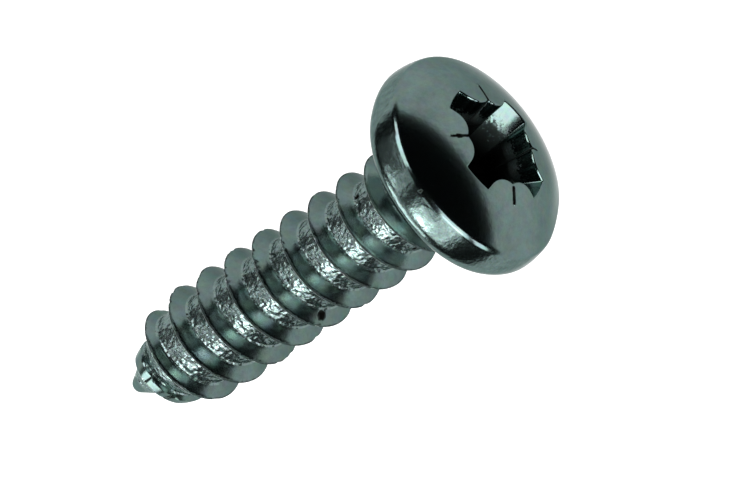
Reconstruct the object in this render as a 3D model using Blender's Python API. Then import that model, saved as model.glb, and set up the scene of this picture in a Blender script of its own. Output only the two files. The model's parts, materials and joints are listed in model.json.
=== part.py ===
"""Sheet metal screw with a pan head, a cross recess of type Z and a cone point.

One solid, turned about its axis and then threaded: the blank is a revolved profile, the thread is
a ridge swept along a right-handed helix, and the recess is a lofted cutter. The screw is modelled
along its own axis, with the head's bearing face at height zero and the point below it. It is then
laid down on its head's rim and on a crest of its thread, as it comes to rest on a table.
"""

import math

import bmesh
import bpy
from mathutils import Matrix, Vector

MM = 0.001
TURN = 2.0 * math.pi

# Head
HEAD_DIAMETER = 8.0 * MM
HEAD_HEIGHT = 2.9 * MM           # bearing face to crown
HEAD_ROUND = 0.72 * MM           # radius of the rounding between bearing face and widest ring
EDGE_HEIGHT = 1.64 * MM          # bearing face to the crisp edge round the dome
EDGE_INSET = 0.15 * MM           # how far that edge stands inside the widest ring

# Shank and thread
LENGTH = 15.62 * MM              # bearing face to the end of the point
CORE_DIAMETER = 3.0 * MM
NECK_FILLET = 0.6 * MM           # takes the flat of the bearing face out past the thread
THREAD_DIAMETER = 4.14 * MM
PITCH = 1.4 * MM
FLANK_ANGLE = math.radians(30.0)     # each flank, from the plane square to the axis
CREST_FLAT = 0.07 * MM
CREST_AT_X = 2.03 * MM               # how far under the head a crest crosses the +X side
THREAD_END = 0.55 * MM               # under the head, where the thread has run out
RUN_OUT_TURNS = 0.5
RIDGE_SINK = 0.125 * MM              # how deep the ridge's foot stands in the core

# Point
CONE_ANGLE = math.radians(28.5)      # half of the cone's whole angle
NOSE_RADIUS = 0.34 * MM
THREAD_START = 0.52 * MM             # from the end of the point, where the ridge leaves the core
CREST_RISE_FROM = 0.33 * MM          # from the end of the point, where the crests start to rise
CREST_RISE_LENGTH = 4.2 * MM
CREST_RISE_POWER = 3.3
CREST_GROWTH = 0.4                   # share of that rise across a crest's own flat
FIRST_CREST_FLAT = 0.8 * MM          # the half-formed first turn has a broad crest
FULL_CREST_FROM = 2.32 * MM          # from the end of the point, where the crest is narrow again

# Cross recess, type Z
RECESS_SPAN = 4.3 * MM               # across two opposite wings, where they meet the dome
WING_WIDTH = 1.06 * MM
WING_DEPTH = 2.15 * MM               # crown to the foot of the wings
RECESS_POINT_DEPTH = 2.6 * MM        # crown to the bottom of the recess
WING_END_ANGLE = math.radians(28.0)  # slope of a wing's end wall from the axis
WING_SIDE_ANGLE = math.radians(4.0)
MIDDLE_WIDTH = 2.2 * MM              # between two opposite lands, at the dome
MIDDLE_SIDE_ANGLE = math.radians(7.75)
LAND_RADIUS = 0.75 * MM              # rounds the lands between a wing and the middle
LAND_SHARE = 0.95                    # most of the way out to a wing's end that a land takes
RECESS_TURN = math.radians(16.0)     # of a wing from the +X side
CUTTER_MARGIN = 0.4 * MM             # how far the cutters stand above the crown

# The four radial marks between the wings
MARK_LENGTH = 0.8 * MM
MARK_WIDTH = 0.12 * MM
MARK_DEPTH = 0.1 * MM

# Facets
HEAD_SEGMENTS = 64
TURN_SEGMENTS = 32
ARC_STEPS = 6
DOME_STEPS = 9

# How it lies
UNDER_SIDE = math.radians(270.0)     # the side that it lies on, round the axis from +X
BISECTION_STEPS = 60

# Zinc-plated steel
ZINC_COLOUR = (0.2, 0.235, 0.22, 1.0)
ZINC_ROUGHNESS = 0.3
SMOOTH_ANGLE = math.radians(28.0)
WELD = 0.0005 * MM

HEAD_RADIUS = HEAD_DIAMETER / 2.0
CORE_RADIUS = CORE_DIAMETER / 2.0
CREST_RADIUS = THREAD_DIAMETER / 2.0
TIP_Z = -LENGTH


def remove_everything():
    for item in list(bpy.data.objects):
        bpy.data.objects.remove(item, do_unlink=True)


def zinc_material():
    material = bpy.data.materials.new("zinc_plated_steel")
    material.use_nodes = True
    shader = material.node_tree.nodes["Principled BSDF"]
    shader.inputs["Base Color"].default_value = ZINC_COLOUR
    shader.inputs["Metallic"].default_value = 1.0
    shader.inputs["Roughness"].default_value = ZINC_ROUGHNESS
    return material


def new_object(name, bm):
    """Turns a closed bmesh into a mesh object with its faces pointing out."""
    bmesh.ops.recalc_face_normals(bm, faces=bm.faces)
    if bm.calc_volume(signed=True) < 0.0:
        bmesh.ops.reverse_faces(bm, faces=bm.faces)
    mesh = bpy.data.meshes.new(name)
    bm.to_mesh(mesh)
    bm.free()
    item = bpy.data.objects.new(name, mesh)
    bpy.context.scene.collection.objects.link(item)
    return item


def arc(centre, radius, start, end, steps):
    """Points of an arc in the (radius, height) plane, from one angle to another."""
    points = []
    for step in range(steps + 1):
        angle = start + (end - start) * step / steps
        points.append((centre[0] + radius * math.cos(angle), centre[1] + radius * math.sin(angle)))
    return points


# The turned blank

def dome_circle():
    """Radius and centre height of the dome, which passes through its edge and the crown."""
    edge_radius = HEAD_RADIUS - EDGE_INSET
    rise = HEAD_HEIGHT - EDGE_HEIGHT
    radius = (edge_radius ** 2 + rise ** 2) / (2.0 * rise)
    return radius, HEAD_HEIGHT - radius


def dome_height(distance):
    radius, centre = dome_circle()
    return centre + math.sqrt(radius ** 2 - distance ** 2)


def cone_start():
    """Where the round nose meets the cone, as radius and distance from the end."""
    return NOSE_RADIUS * math.cos(CONE_ANGLE), NOSE_RADIUS * (1.0 - math.sin(CONE_ANGLE))


def cone_length():
    """Distance from the end of the point to the full core."""
    radius, start = cone_start()
    return start + (CORE_RADIUS - radius) / math.tan(CONE_ANGLE)


def core_radius(height):
    """Radius of the unthreaded core at a height on the axis."""
    distance = height - TIP_Z
    radius, start = cone_start()
    if distance < start:
        return math.sqrt(max(0.0, NOSE_RADIUS ** 2 - (NOSE_RADIUS - distance) ** 2))
    return min(CORE_RADIUS, radius + (distance - start) * math.tan(CONE_ANGLE))


def head_profile():
    """The head's outline from the neck to the crown."""
    quarter = math.pi / 2.0
    neck = (CORE_RADIUS + NECK_FILLET, -NECK_FILLET)
    points = arc(neck, NECK_FILLET, 2.0 * quarter, quarter, ARC_STEPS // 2)
    rounding = (HEAD_RADIUS - HEAD_ROUND, HEAD_ROUND)
    points += arc(rounding, HEAD_ROUND, -quarter, 0.0, ARC_STEPS)
    for step in range(1, ARC_STEPS // 2 + 1):
        share = 2.0 * step / ARC_STEPS
        height = HEAD_ROUND + (EDGE_HEIGHT - HEAD_ROUND) * share
        points.append((HEAD_RADIUS - EDGE_INSET * share ** 2, height))
    radius, centre = dome_circle()
    edge = math.acos((HEAD_RADIUS - EDGE_INSET) / radius)
    dome = arc((0.0, centre), radius, edge, quarter, DOME_STEPS)
    return points + dome[1:-1] + [(0.0, HEAD_HEIGHT)]


def point_profile():
    """The outline from the end of the point to the full core."""
    nose = arc((0.0, TIP_Z + NOSE_RADIUS), NOSE_RADIUS, -math.pi / 2.0, -CONE_ANGLE, ARC_STEPS // 2)
    return [(0.0, TIP_Z)] + nose[1:] + [(CORE_RADIUS, TIP_Z + cone_length())]


def turned_blank():
    """Revolves the whole profile, with a facet, not a corner, on the under side."""
    start = UNDER_SIDE + TURN / HEAD_SEGMENTS / 2.0
    bm = bmesh.new()
    verts = []
    for radius, height in point_profile() + head_profile():
        verts.append(bm.verts.new((radius * math.cos(start), radius * math.sin(start), height)))
    edges = [bm.edges.new(pair) for pair in zip(verts, verts[1:])]
    bmesh.ops.spin(bm, geom=verts + edges, cent=(0.0, 0.0, 0.0), axis=(0.0, 0.0, 1.0),
                   angle=TURN, steps=HEAD_SEGMENTS, use_merge=True)
    bmesh.ops.remove_doubles(bm, verts=bm.verts, dist=WELD)
    return new_object("screw", bm)


# The thread

def crest_height(angle):
    """Height of the crest where the helix has turned through an angle from +X."""
    return PITCH * angle / TURN - CREST_AT_X


def crest_radius(height):
    """Crest radius, which rises along the point and falls to the core at the neck."""
    share = (height - TIP_Z - CREST_RISE_FROM) / CREST_RISE_LENGTH
    share = min(1.0, max(0.0, share))
    radius = CREST_RADIUS * (1.0 - (1.0 - share) ** CREST_RISE_POWER)
    fade = (-THREAD_END - height) / (RUN_OUT_TURNS * PITCH)
    fade = min(1.0, max(0.0, fade))
    fade = fade * fade * (3.0 - 2.0 * fade)
    sunk = CORE_RADIUS - RIDGE_SINK
    return sunk + (radius - sunk) * fade if height > -LENGTH / 2.0 else radius


def crest_flat(height):
    """Width of the crest, broad on the half-formed first turn."""
    share = (height - TIP_Z - THREAD_START) / (FULL_CREST_FROM - THREAD_START)
    share = min(1.0, max(0.0, share))
    return FIRST_CREST_FLAT + (CREST_FLAT - FIRST_CREST_FLAT) * share


def ridge_section(height):
    """The ridge's section as four (radius, height) points, with its foot inside the core."""
    low = height - CREST_FLAT / 2.0
    high = low + crest_flat(height)
    points = []
    for edge, side, growth in ((low, -1.0, 0.0), (high, 1.0, CREST_GROWTH)):
        crest = crest_radius(height + growth * (high - height))
        reach = max(0.0, crest - core_radius(edge)) + 2.0 * RIDGE_SINK
        foot_z = edge + side * reach * math.tan(FLANK_ANGLE)
        foot = max(RIDGE_SINK, core_radius(foot_z) - RIDGE_SINK)
        points.append([(foot, foot_z), (max(crest, foot + RIDGE_SINK / 4.0), edge)])
    (foot_low, crest_low), (foot_high, crest_high) = points
    return [foot_low, crest_low, crest_high, foot_high]


def helix_angles():
    """Angles of the helix's sections, one of which falls on the under side."""
    step = TURN / TURN_SEGMENTS
    first = TURN * (TIP_Z + THREAD_START + CREST_AT_X) / PITCH
    last = TURN * (CREST_AT_X - THREAD_END) / PITCH
    low = math.ceil((first - UNDER_SIDE) / step)
    high = math.floor((last - UNDER_SIDE) / step)
    return [UNDER_SIDE + step * index for index in range(low, high + 1)]


def thread_ridge():
    bm = bmesh.new()
    rings = []
    for angle in helix_angles():
        section = ridge_section(crest_height(angle))
        rings.append([bm.verts.new((r * math.cos(angle), r * math.sin(angle), z)) for r, z in section])
    count = len(rings[0])
    for one, two in zip(rings, rings[1:]):
        for side in range(count):
            after = (side + 1) % count
            bm.faces.new((one[side], one[after], two[after], two[side]))
    bm.faces.new(rings[0])
    bm.faces.new(reversed(rings[-1]))
    bmesh.ops.triangulate(bm, faces=bm.faces)
    return new_object("thread_ridge", bm)


# The recess

def wing_shoulder():
    """Height at which the recess takes its stated span and widths."""
    return dome_height(RECESS_SPAN / 2.0)


def recess_outline(height):
    """The recess's section at a height: four wings and two round lands in each quarter."""
    rise = height - wing_shoulder()
    reach = RECESS_SPAN / 2.0 + rise * math.tan(WING_END_ANGLE)
    wing = WING_WIDTH / 2.0 + rise * math.tan(WING_SIDE_ANGLE)
    middle = MIDDLE_WIDTH / 2.0 + rise * math.tan(MIDDLE_SIDE_ANGLE)
    land = min(LAND_RADIUS, LAND_SHARE * (reach - middle))
    x, y = middle + land, wing + land
    overlap = 2.0 * land ** 2 - (x - y) ** 2
    quarter = math.pi / 2.0
    if overlap > 0.0:
        cusp = (x + y - math.sqrt(overlap)) / 2.0
        stop = math.atan2(cusp - y, cusp - x) + TURN
        lobe = arc((x, y), land, 3.0 * quarter, stop, ARC_STEPS)
    else:
        # Lands too small to meet are joined by straight walls and a corner
        lobe = arc((x, y), land, 3.0 * quarter, 2.0 * quarter, ARC_STEPS - 1)
        lobe.append((middle, middle))
    half = [(reach, wing)] + lobe
    outline = []
    for side in range(4):
        turn = Matrix.Rotation(RECESS_TURN + side * quarter, 2)
        mirrored = [(y, x) for x, y in reversed(half[:-1])]
        outline += [turn @ Vector(point) for point in half + mirrored]
    return outline


def recess_cutter():
    bm = bmesh.new()
    heights = (HEAD_HEIGHT - WING_DEPTH, wing_shoulder(), HEAD_HEIGHT + CUTTER_MARGIN)
    rings = []
    for height in heights:
        rings.append([bm.verts.new((point.x, point.y, height)) for point in recess_outline(height)])
    count = len(rings[0])
    for low, high in zip(rings, rings[1:]):
        for side in range(count):
            after = (side + 1) % count
            bm.faces.new((low[side], low[after], high[after], high[side]))
    bottom = bm.verts.new((0.0, 0.0, HEAD_HEIGHT - RECESS_POINT_DEPTH))
    for side in range(count):
        bm.faces.new((rings[0][(side + 1) % count], rings[0][side], bottom))
    bm.faces.new(rings[-1])
    return new_object("recess_cutter", bm)


def mark_cutter():
    """Four wedges that score the dome outwards from where two lands meet."""
    bm = bmesh.new()
    inner = MIDDLE_WIDTH / math.sqrt(2.0) - MARK_WIDTH
    outer = inner + MARK_WIDTH + MARK_LENGTH
    for side in range(4):
        angle = RECESS_TURN + TURN * (side + 0.5) / 4.0
        along = Vector((math.cos(angle), math.sin(angle), 0.0))
        across = Vector((-math.sin(angle), math.cos(angle), 0.0))
        lift = Vector((0.0, 0.0, MARK_DEPTH))
        rings = []
        for distance, depth in ((inner, MARK_DEPTH), (outer, MARK_DEPTH / 3.0)):
            foot = along * distance + Vector((0.0, 0.0, dome_height(distance) - depth))
            wide = across * MARK_WIDTH
            corners = (foot, foot + 2.0 * lift + wide, foot + 2.0 * lift - wide)
            rings.append([bm.verts.new(corner) for corner in corners])
        near, far = rings
        for corner in range(3):
            after = (corner + 1) % 3
            bm.faces.new((near[corner], near[after], far[after], far[corner]))
        bm.faces.new(near)
        bm.faces.new(reversed(far))
    return new_object("mark_cutter", bm)


def cut(screw, tool, operation):
    """Adds a Boolean step; the exact solver returns nothing at this small a size."""
    tool.hide_render = True
    tool.display_type = "WIRE"
    modifier = screw.modifiers.new(tool.name, "BOOLEAN")
    modifier.operation = operation
    modifier.solver = "MANIFOLD"
    modifier.object = tool


# The way it lies

def resting_tilt():
    """Angle of the axis over the table: the rim and the lowest crest touch the same line."""
    rim = math.cos(TURN / HEAD_SEGMENTS / 2.0)
    head = [(radius * rim, height) for radius, height in head_profile()]
    crests = []
    for angle in helix_angles():
        height = crest_height(angle)
        crests.append((crest_radius(height) * math.cos(angle - UNDER_SIDE), height))
    low, high = 0.0, 1.0
    for _ in range(BISECTION_STEPS):
        slope = (low + high) / 2.0
        head_reach = max(radius - slope * height for radius, height in head)
        crest_reach = max(radius - slope * height for radius, height in crests)
        if crest_reach > head_reach:
            high = slope
        else:
            low = slope
    return math.atan(slope)


def lay_down(screw):
    """Tips the screw onto its side and centres its box over the origin."""
    quarter = math.pi / 2.0
    tip = Matrix.Rotation(quarter - resting_tilt(), 4, "Y") @ Matrix.Rotation(-UNDER_SIDE, 4, "Z")
    corners = [tip @ vertex.co for vertex in screw.data.vertices]
    low = [min(corner[axis] for corner in corners) for axis in range(3)]
    high = [max(corner[axis] for corner in corners) for axis in range(3)]
    shift = Vector((-(low[0] + high[0]) / 2.0, -(low[1] + high[1]) / 2.0, -low[2]))
    screw.matrix_world = Matrix.Translation(shift) @ tip


def finish_mesh(screw):
    """Applies the thread and the cuts, then shades the round faces smooth."""
    scene = bpy.context.evaluated_depsgraph_get()
    mesh = bpy.data.meshes.new_from_object(screw.evaluated_get(scene))
    screw.modifiers.clear()
    screw.data = mesh
    mesh.name = "screw"
    mesh.shade_smooth()
    mesh.set_sharp_from_angle(angle=SMOOTH_ANGLE)


def build_screw():
    remove_everything()
    screw = turned_blank()
    screw.data.materials.append(zinc_material())
    cut(screw, thread_ridge(), "UNION")
    cut(screw, recess_cutter(), "DIFFERENCE")
    cut(screw, mark_cutter(), "DIFFERENCE")
    finish_mesh(screw)
    lay_down(screw)


build_screw()
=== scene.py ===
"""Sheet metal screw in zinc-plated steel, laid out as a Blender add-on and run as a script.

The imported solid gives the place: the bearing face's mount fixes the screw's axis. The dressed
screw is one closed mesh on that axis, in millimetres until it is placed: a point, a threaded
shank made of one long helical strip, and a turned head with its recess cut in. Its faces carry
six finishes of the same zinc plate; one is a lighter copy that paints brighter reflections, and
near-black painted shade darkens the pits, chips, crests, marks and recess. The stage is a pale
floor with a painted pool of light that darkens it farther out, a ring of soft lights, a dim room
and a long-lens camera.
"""

import json
import math

import bmesh
import bpy
import numpy as np
from mathutils import Matrix, Vector
from mathutils import noise as lumps


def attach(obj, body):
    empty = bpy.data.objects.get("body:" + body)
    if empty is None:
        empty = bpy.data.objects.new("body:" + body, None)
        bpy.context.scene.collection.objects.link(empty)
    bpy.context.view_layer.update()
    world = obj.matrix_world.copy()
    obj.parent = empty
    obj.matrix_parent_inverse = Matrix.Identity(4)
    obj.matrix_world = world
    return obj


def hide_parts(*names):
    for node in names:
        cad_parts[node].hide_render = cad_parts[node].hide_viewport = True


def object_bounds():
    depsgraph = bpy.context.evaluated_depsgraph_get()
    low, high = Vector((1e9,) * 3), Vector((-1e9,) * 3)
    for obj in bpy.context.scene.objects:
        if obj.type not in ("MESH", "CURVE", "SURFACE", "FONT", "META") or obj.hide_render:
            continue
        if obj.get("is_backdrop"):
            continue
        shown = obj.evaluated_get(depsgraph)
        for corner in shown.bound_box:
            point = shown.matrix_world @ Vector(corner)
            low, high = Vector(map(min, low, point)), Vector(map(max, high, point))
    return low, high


bl_info = {
    "name": "Sheet metal screw",
    "version": (1, 0, 0),
    "blender": (4, 5, 0),
    "location": "3D View > Sidebar > Screw",
    "description": "Builds a pan head sheet metal screw in zinc plate, with a studio round it",
    "category": "Add Mesh",
}

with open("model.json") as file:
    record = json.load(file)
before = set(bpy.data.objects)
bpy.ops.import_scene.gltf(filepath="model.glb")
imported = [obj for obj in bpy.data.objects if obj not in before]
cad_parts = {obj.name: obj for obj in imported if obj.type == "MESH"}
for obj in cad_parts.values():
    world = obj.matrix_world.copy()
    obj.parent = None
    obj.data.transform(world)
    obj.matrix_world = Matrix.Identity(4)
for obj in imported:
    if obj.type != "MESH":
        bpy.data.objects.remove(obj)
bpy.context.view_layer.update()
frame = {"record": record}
MOUNT = frame["record"]["mounts"][0]

MM = 0.001
TURN = 2.0 * math.pi
QUARTER = math.pi / 2.0

# How finely the mesh is cut
STEPS_AROUND = 200
FLANK_ROWS = 6
ROOT_ROWS = 12
NOSE_RINGS = 12
DOME_RINGS = 44
ARC_RINGS = 12
LOBE_STEPS = 12
WING_END_STEPS = 4
WING_CORNER_STEPS = 4
MARK_STEPS = 8
FLOOR_SIDES = 96

# Lengths in millimetres that count as nothing
POLE_RADIUS = 1e-6
TINY = 1e-9
WELD = 2e-5
SLIVER = 1e-5

# The screw's axes in the row frame, from the mount on its bearing face
SEAT_RADIUS = 2.65
AXIS = -Vector(MOUNT["axis"]).normalized()
ASIDE = Vector((0.0, 1.0, 0.0))
UPPER = AXIS.cross(ASIDE).normalized()
BEARING_CENTRE = Vector(MOUNT["pos_m"]) - UPPER * SEAT_RADIUS * MM
TO_ROW = Matrix((ASIDE, UPPER, AXIS)).transposed()

SHARP_FROM = math.radians(32.0)

# Slots of the dressed mesh
SMOOTH, FLANK, ROOT, RIM, PUNCHED, PAINTED_BRIGHT = range(6)


def size_field(name, description, default):
    """A length in millimetres."""
    return bpy.props.FloatProperty(
        name=name, description=f"{description}, mm", default=default, min=0.0)


def angle_field(name, description, degrees):
    return bpy.props.FloatProperty(
        name=name, description=description, subtype="ANGLE", default=math.radians(degrees))


def colour_field(name, description, default):
    return bpy.props.FloatVectorProperty(
        name=name, description=description, subtype="COLOR", size=3, default=default,
        min=0.0, max=1.0)


class ScrewSizes(bpy.types.PropertyGroup):
    """Sizes of the screw in millimetres and turns, as on the drawing."""

    head_diameter: size_field("Head diameter", "Widest ring of the head", 8.0)
    head_height: size_field("Head height", "Bearing face to crown", 2.9)
    head_round: size_field("Head rounding", "Radius under the widest ring", 0.72)
    edge_height: size_field("Edge height", "Bearing face to the edge of the dome", 1.64)
    edge_inset: size_field("Edge inset", "How far the dome's edge stands in", 0.15)
    edge_round: size_field("Edge rounding", "Radius of the dome's crisp edge", 0.38)
    length: size_field("Length", "Bearing face to the end of the point", 15.62)
    core_diameter: size_field("Core diameter", "Shank between the thread's ridges", 3.0)
    neck_fillet: size_field("Neck fillet", "Radius between shank and bearing face", 0.6)
    thread_diameter: size_field("Thread diameter", "Across the crests", 4.14)
    pitch: size_field("Pitch", "Crest to crest along the axis", 1.4)
    crest_flat: size_field("Crest flat", "Width of the worn crest", 0.07)
    crest_offset: size_field("Crest offset", "First crest under the head on the side", 2.03)
    thread_end: size_field("Thread end", "Under the head, where the thread has run out", 0.55)
    run_out_turns: bpy.props.FloatProperty(
        name="Run-out", description="Turns over which the thread runs out", default=0.5)
    cone_angle: angle_field("Cone angle", "Half of the point's whole angle", 28.5)
    nose_radius: size_field("Nose radius", "Rounding of the point's end", 0.34)


class RecessSizes(bpy.types.PropertyGroup):
    """Sizes of the cross recess in millimetres."""

    span: size_field("Span", "Across two opposite wings", 4.3)
    wing_width: size_field("Wing width", "Width of a wing at the dome", 1.06)
    wing_depth: size_field("Wing depth", "Crown to the foot of the wings", 2.15)
    point_depth: size_field("Point depth", "Crown to the bottom", 2.6)
    middle_width: size_field("Middle width", "Between two opposite lands", 2.2)
    land_radius: size_field("Land radius", "Rounding of the lands between two wings", 0.75)
    turn: angle_field("Turn", "Angle of a wing round the axis", 16.0)
    lip: size_field("Lip", "Rounding of the recess's lip", 0.045)


class FinishColours(bpy.types.PropertyGroup):
    """Colours of the zinc plate, of its painted shade and of the floor."""

    plate: colour_field("Plate", "Smooth zinc plate", (0.075, 0.107, 0.102))
    # A lighter copy of the plate on point-facing flanks and the bearing face, which paints brighter
    # reflections of them in the flanks that mirror them.
    bright: colour_field("Bright flank", "Flanks that face the point", (0.33, 0.4, 0.38))
    rolled: colour_field("Rolled root", "Bare, rough thread root", (0.112, 0.15, 0.145))
    floor: colour_field("Floor", "Colour of the floor", (0.44, 0.44, 0.44))
    # Near-black painted shade for the pits, chips, marks, crests and recess
    painted_shade: colour_field("Painted shade", "Dirt in pits and chips", (0.005, 0.0045, 0.004))
    edge_tint: colour_field("Edge tint", "What is left of the glancing gloss", (0.5, 0.54, 0.53))


def sizes():
    return bpy.context.scene.screw_sizes


def recess_sizes():
    return bpy.context.scene.recess_sizes


def colours():
    return bpy.context.scene.finish_colours


# Profiles of the turned forms, as (radius, height) in millimetres

def arc(centre, radius, start, end, steps):
    points = []
    for step in range(steps + 1):
        angle = start + (end - start) * step / steps
        points.append((centre[0] + radius * math.cos(angle), centre[1] + radius * math.sin(angle)))
    return points


def dome_circle():
    s = sizes()
    edge = s.head_diameter / 2.0 - s.edge_inset
    rise = s.head_height - s.edge_height
    radius = (edge ** 2 + rise ** 2) / (2.0 * rise)
    return radius, s.head_height - radius


def sphere_height(distance):
    """Height of the dome's sphere at a distance from the axis, also for arrays."""
    radius, centre = dome_circle()
    return centre + np.sqrt(radius ** 2 - distance ** 2)


def dome_height(distance):
    return float(sphere_height(distance))


def rounded_corner(before, corner, after, radius, steps):
    """Points of a small arc that takes the place of a corner between two straight runs."""
    corner = Vector(corner)
    one = (Vector(before) - corner).normalized()
    two = (Vector(after) - corner).normalized()
    half = one.angle(two) / 2.0
    reach = radius / math.tan(half)
    points = []
    for step in range(steps + 1):
        share = step / steps
        start = corner + one * reach
        end = corner + two * reach
        bend = start.lerp(corner, share).lerp(corner.lerp(end, share), share)
        points.append(tuple(bend))
    return points


def head_profile():
    """From the foot of the neck fillet to the crown."""
    s = sizes()
    radius = s.head_diameter / 2.0
    flat = s.core_diameter / 2.0 + s.neck_fillet
    points = [(flat, 0.0), ((flat + radius - s.head_round) / 2.0, 0.0)]
    points += arc((radius - s.head_round, s.head_round), s.head_round, -QUARTER, 0.0, ARC_RINGS)
    side = []
    for step in range(1, ARC_RINGS + 1):
        share = step / ARC_RINGS
        height = s.head_round + (s.edge_height - s.head_round) * share
        side.append((radius - s.edge_inset * share ** 2, height))
    dome_radius, centre = dome_circle()
    edge = math.acos((radius - s.edge_inset) / dome_radius)
    dome = arc((0.0, centre), dome_radius, edge, QUARTER, DOME_RINGS)
    corner = rounded_corner(side[-2], side[-1], dome[1], s.edge_round, ARC_RINGS // 2)
    return points + side[:-2] + corner + dome[2:-1] + [(0.0, s.head_height)]


def cone_start():
    s = sizes()
    return s.nose_radius * math.cos(s.cone_angle), s.nose_radius * (1.0 - math.sin(s.cone_angle))


def core_radius(height):
    """Radius of the core, with the cone of the point and the fillet of the neck."""
    s = sizes()
    distance = height + s.length
    core = s.core_diameter / 2.0
    radius, start = cone_start()
    if distance < start:
        return math.sqrt(max(0.0, s.nose_radius ** 2 - (s.nose_radius - distance) ** 2))
    if height > -s.neck_fillet:
        rise = height + s.neck_fillet
        return core + s.neck_fillet - math.sqrt(s.neck_fillet ** 2 - rise ** 2)
    return min(core, radius + (distance - start) * math.tan(s.cone_angle))


# The thread

CREST_RISE_FROM = 0.33
CREST_RISE_LENGTH = 4.2
CREST_RISE_POWER = 3.3
CREST_GROWTH = 0.4
FIRST_CREST_FLAT = 0.8
THREAD_START = 0.52
FULL_CREST_FROM = 2.32
FLANK_SLOPE = 1.0 / math.tan(math.radians(30.0))
FILLET_BLEND = 0.07
CREST_ROUND = 0.035
CREST_DROP = 0.03
STRIP_LOW = 0.42
STRIP_HIGH = 0.02
ROOT_LUMP_SIZE = 0.16
ROOT_LUMP_HEIGHT = 0.005
FLANK_WAVE_SIZE = 0.8
FLANK_WAVE_HEIGHT = 0.012
BARE_FADE = (-0.04, 0.05)       # mm of ridge over the core in which the bare root ends
POINT_FADE = (0.1, 0.3)         # mm above the strip's start in which its roughness comes in
NECK_BARE_FADE = (0.3, 0.6)     # mm under the head in which the bare root comes in
NECK_WAVE_FADE = (0.05, 0.3)    # mm under the strip's end in which its roughness comes in
BARE_FROM = 0.3                 # bareness from which a face has the root's finish


def smooth_step(low, high, value):
    share = np.clip((value - low) / (high - low), 0.0, 1.0)
    return share * share * (3.0 - 2.0 * share)


def smooth_max(one, two, blend):
    """The larger of two lengths, with a round fillet where they cross."""
    gap = np.maximum(blend - np.abs(one - two), 0.0) / blend
    return np.maximum(one, two) + gap * gap * blend / 4.0


def crest_height(angle):
    s = sizes()
    return s.pitch * angle / TURN - s.crest_offset


def crest_radius(height):
    """Crest radius, which rises along the point and fades out under the head."""
    s = sizes()
    share = np.clip((height + s.length - CREST_RISE_FROM) / CREST_RISE_LENGTH, 0.0, 1.0)
    full = s.thread_diameter / 2.0 * (1.0 - (1.0 - share) ** CREST_RISE_POWER)
    fade = smooth_step(0.0, 1.0, (-s.thread_end - height) / (s.run_out_turns * s.pitch))
    sunk = s.core_diameter / 2.0 - s.neck_fillet / 2.0
    return np.where(fade < 1.0, sunk + (full - sunk) * fade, full)


def crest_flat(height):
    """Width of the crest, broad on the first turn and narrow after it."""
    s = sizes()
    share = np.clip((height + s.length - THREAD_START) / (FULL_CREST_FROM - THREAD_START), 0.0, 1.0)
    return FIRST_CREST_FLAT + (s.crest_flat - FIRST_CREST_FLAT) * share


def past_crest(distance):
    """How far the skin has fallen at a distance past the edge of the crest, which is rounded."""
    edge = np.clip((distance + CREST_ROUND) / CREST_ROUND, 0.0, 1.0)
    return CREST_DROP * edge ** 2 + np.maximum(0.0, distance) * FLANK_SLOPE


def strip_offsets():
    """Heights of the strip's rows over one pitch, from one crest towards the next."""
    s = sizes()
    half = s.crest_flat / 2.0
    run = (s.thread_diameter - s.core_diameter) / 2.0 / FLANK_SLOPE
    low = [half + run * step / FLANK_ROWS for step in range(FLANK_ROWS + 1)]
    high = [s.pitch - value for value in reversed(low)]
    gap = high[0] - low[-1]
    root = [low[-1] + gap * step / ROOT_ROWS for step in range(1, ROOT_ROWS)]
    return np.array([0.0] + low + root + high)


def chips_at(angle):
    """How much of the crest is missing at each angle of the helix."""
    random = np.random.default_rng(CHIP_SEED)
    turns = sizes().length / sizes().pitch
    count = int(turns * SMALL_CHIPS_PER_TURN)
    chips = [(place * TURN, width, depth) for place, width, depth in CHIPS]
    places = random.uniform(-turns, 0.0, count) * TURN
    widths = random.uniform(*SMALL_CHIP_WIDTHS, count)
    depths = random.uniform(*SMALL_CHIP_DEPTHS, count)
    chips += list(zip(places, widths, depths))
    missing = np.zeros_like(angle)
    for place, width, depth in chips:
        missing = np.maximum(missing, depth * np.exp(-((angle - place) / width) ** 2))
    return missing


def shank_grid():
    """Radius, height and bareness of the helical strip, one row of values for each angle."""
    s = sizes()
    offsets = strip_offsets()
    step = TURN / STEPS_AROUND
    low, high = -s.length + STRIP_LOW, -STRIP_HIGH
    first = math.floor(TURN * (low + s.crest_offset) / s.pitch / step) - STEPS_AROUND
    last = math.ceil(TURN * (s.crest_offset + high) / s.pitch / step) + STEPS_AROUND
    angles = np.arange(first, last + 1) * step
    base = crest_height(angles)[:, None]
    height = np.clip(base + offsets, low, high)
    offset = height - base
    core = np.vectorize(core_radius)(height)
    half = s.crest_flat / 2.0
    wide = crest_flat(base) - half
    past = np.clip(offset, 0.0, wide)
    missing = chips_at(angles)[:, None]
    missing_above = chips_at(angles + TURN)[:, None]
    below = crest_radius(base + CREST_GROWTH * past)
    below = np.minimum(below - past_crest(offset - wide), below - missing)
    above = crest_radius(base + s.pitch)
    above = np.minimum(above - past_crest(s.pitch - offset - half), above - missing_above)
    ridge = np.where((offset < 0.0) | (offset > s.pitch), 0.0, np.maximum(below, above))
    radius = smooth_max(core, ridge, FILLET_BLEND)
    bare = 1.0 - smooth_step(*BARE_FADE, ridge - core)
    bare = bare * smooth_step(*POINT_FADE, height - low) * smooth_step(*NECK_BARE_FADE, -height)
    return angles, radius, height, bare


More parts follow.
